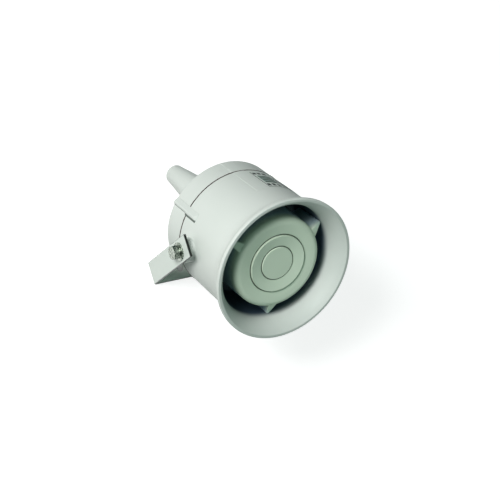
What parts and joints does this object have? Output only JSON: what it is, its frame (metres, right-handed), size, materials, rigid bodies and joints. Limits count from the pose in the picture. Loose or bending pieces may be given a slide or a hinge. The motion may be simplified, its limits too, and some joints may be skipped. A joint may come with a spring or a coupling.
{
  "type": "pa horn speaker",
  "caption": "Small re-entrant public address horn loudspeaker in a tilting U bracket, with a flared mouth, a reflector on fins, a rear cover and a long cable entry nozzle.",
  "frame": {"origin": "centre of the bracket base's mounting face, on the axis of its middle hole", "axes": "+Z away from the surface that the bracket is fixed to, +X along the pivot axis of the horn, -Y to the side that the mouth leans to at rest"},
  "size_m": [0.1706, 0.2055, 0.1856],
  "materials": {
    "bracket_paint": "pale grey powder coat on steel strip",
    "zinc_steel": "zinc-plated steel",
    "plated_steel": "plated mild steel",
    "insert_brass": "turned brass",
    "housing_plastic": "pale grey moulded ABS with a fine grain",
    "reflector_plastic": "pale grey-green moulded ABS",
    "inner_plastic": "dark grey moulded ABS",
    "terminal_plastic": "black moulded nylon",
    "gasket_rubber": "rust-brown cellular rubber cord",
    "seal_rubber": "black rubber",
    "diaphragm_film": "pressed phenolic cloth",
    "suspension_fabric": "doped cloth ring",
    "coil_copper": "enamelled copper wire",
    "magnet_ferrite": "sintered ferrite",
    "core_steel": "stacked silicon-steel laminations",
    "winding_tape": "copper winding under yellow tape"
  },
  "bodies": {
    "bracket": {"mounting_bracket": "bracket_paint"},
    "horn": {"pivot_bolts": "zinc_steel", "pivot_flat_washers": "zinc_steel", "pivot_spring_washers": "zinc_steel", "pivot_inserts": "insert_brass", "front_housing": "housing_plastic", "reflector": "reflector_plastic", "throat_plate": "inner_plastic", "cover_gasket": "gasket_rubber", "rear_cover": "housing_plastic", "cover_screws": "zinc_steel", "cable_nozzle": "housing_plastic", "cable_seal": "seal_rubber", "gland_nut": "housing_plastic", "driver_cap": "inner_plastic", "driver_screws": "zinc_steel", "phase_plug": "inner_plastic", "suspension_ring": "suspension_fabric", "top_plate": "plated_steel", "ring_magnet": "magnet_ferrite", "yoke": "plated_steel", "transformer_core": "core_steel", "transformer_winding": "winding_tape", "transformer_strap": "plated_steel", "transformer_screws": "zinc_steel", "terminal_block": "terminal_plastic", "terminal_screws": "insert_brass"},
    "diaphragm": {"diaphragm": "diaphragm_film", "voice_coil": "coil_copper"}
  },
  "joints": [
    {"name": "horn_tilt", "type": "hinge", "parent": "bracket", "child": "horn", "pos_m": [0, 0, 0.08], "axis": [1, 0, 0], "range_deg": [-45, 0]},
    {"name": "diaphragm_travel", "type": "slide", "parent": "horn", "child": "diaphragm", "axis": [0, -0.682, 0.7314], "range_m": [-0.0004, 0.0004], "stiffness_N_per_m": 300}
  ]
}
